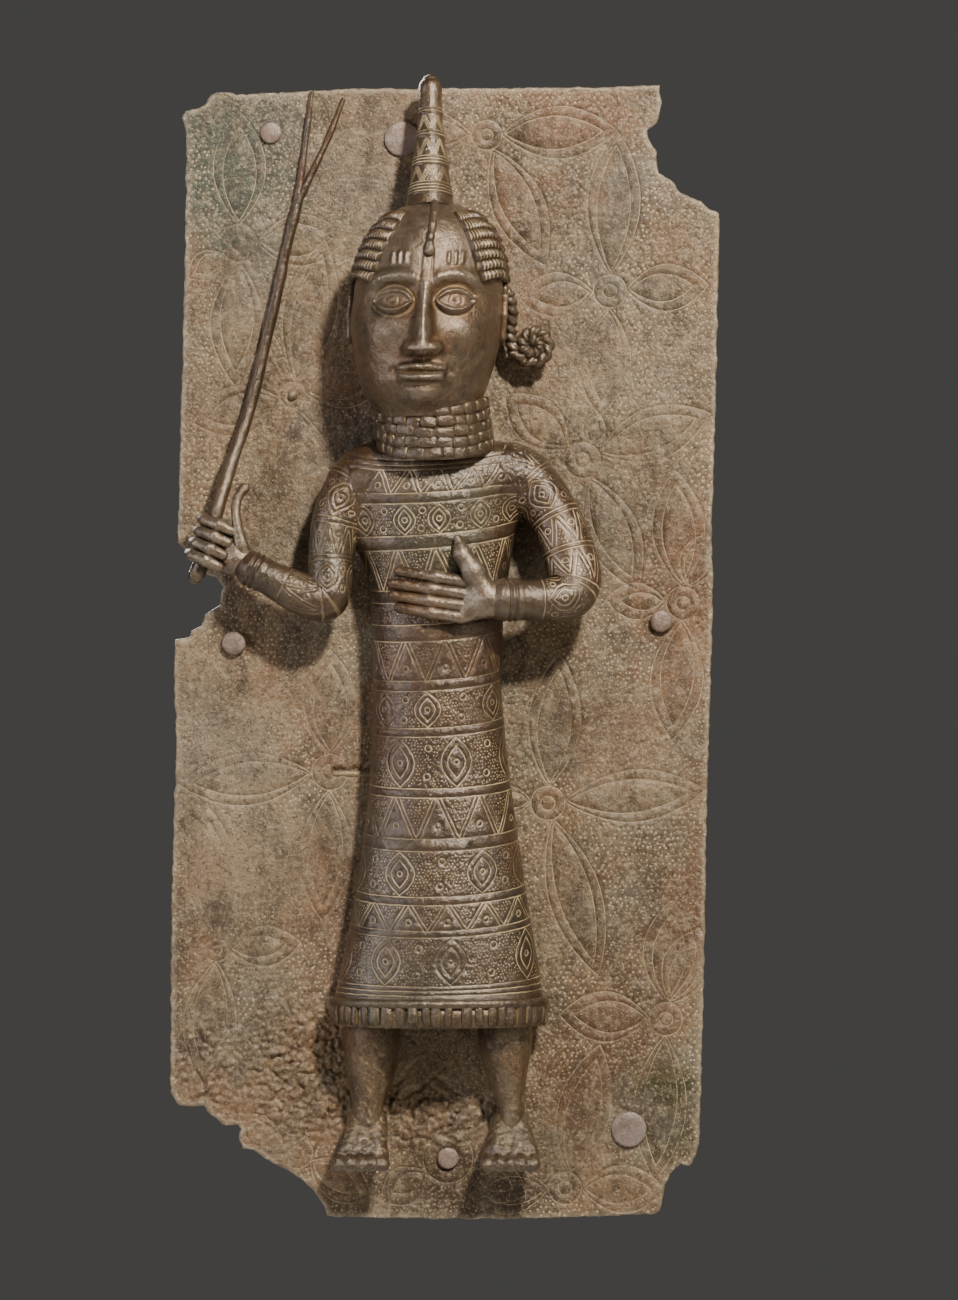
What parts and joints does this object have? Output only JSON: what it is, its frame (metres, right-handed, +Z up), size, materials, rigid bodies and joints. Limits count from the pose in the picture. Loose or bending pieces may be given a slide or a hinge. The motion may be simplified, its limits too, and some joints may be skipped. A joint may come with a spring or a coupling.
{
  "type": "relief plaque",
  "caption": "Tall cast brass wall plaque with broken corners: a standing court figure in high relief holds a forked staff against a flower-engraved, dot-punched ground.",
  "frame": {"origin": "middle of the plate's flat back face", "axes": "+Z up along the plaque's height, +X to the viewer's right, the back face looks along +Y and the figure stands out towards -Y"},
  "size_m": [0.219, 0.065, 0.4561],
  "materials": {
    "cast_brass": "old cast brass with a dull brown patina, rubbed brighter on the figure, pale earth in the engraving",
    "plug_metal": "smoother pinkish grey-brown copper alloy plugs, lightly rubbed"
  },
  "bodies": {
    "root": {"Casting": "cast_brass", "PlugUpperLeft": "plug_metal", "PlugBesideHorn": "plug_metal", "PlugBelowFist": "plug_metal", "PlugRightOfElbow": "plug_metal", "PlugBetweenFeet": "plug_metal", "PlugLowerRight": "plug_metal"}
  },
  "joints": []
}
